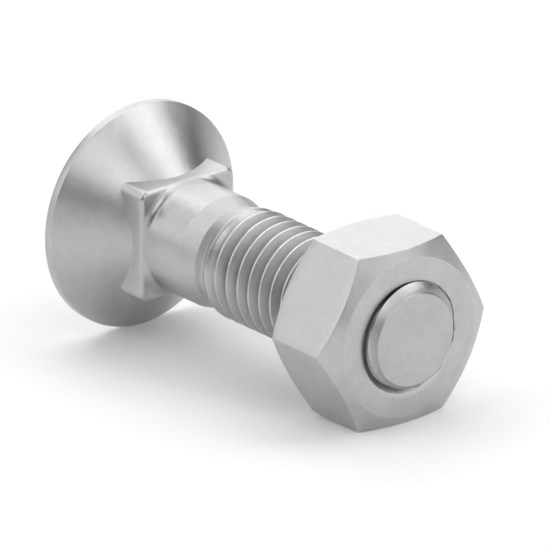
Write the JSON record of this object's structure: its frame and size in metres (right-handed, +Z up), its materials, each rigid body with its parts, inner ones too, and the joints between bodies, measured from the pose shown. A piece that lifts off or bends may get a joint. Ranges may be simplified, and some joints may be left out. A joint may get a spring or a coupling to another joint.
{
  "type": "countersunk bolt",
  "caption": "Flat countersunk bolt with a short square neck, plain shank, relief groove and threaded end, with a hexagon nut that runs on the thread.",
  "frame": {"origin": "on the floor under the middle of the footprint, the bolt lying on its side at rest on its head's rim and the nut's lower flat", "axes": "+X along the bolt from the head towards the free end (the bolt's own axis dips 3.36 degrees below it), +Z up, +Y to the left seen from the head"},
  "size_m": [0.046, 0.024, 0.024],
  "materials": {
    "bolt_steel": "satin",
    "nut_steel": "satin"
  },
  "bodies": {
    "bolt": {"bolt": "bolt_steel"},
    "nut": {"hex_nut": "nut_steel"}
  },
  "joints": [
    {"name": "nut_travel", "type": "slide", "parent": "bolt", "child": "nut", "axis": [0.9983, 0, -0.0586], "range_m": [-0.014, 0.00875]}
  ]
}
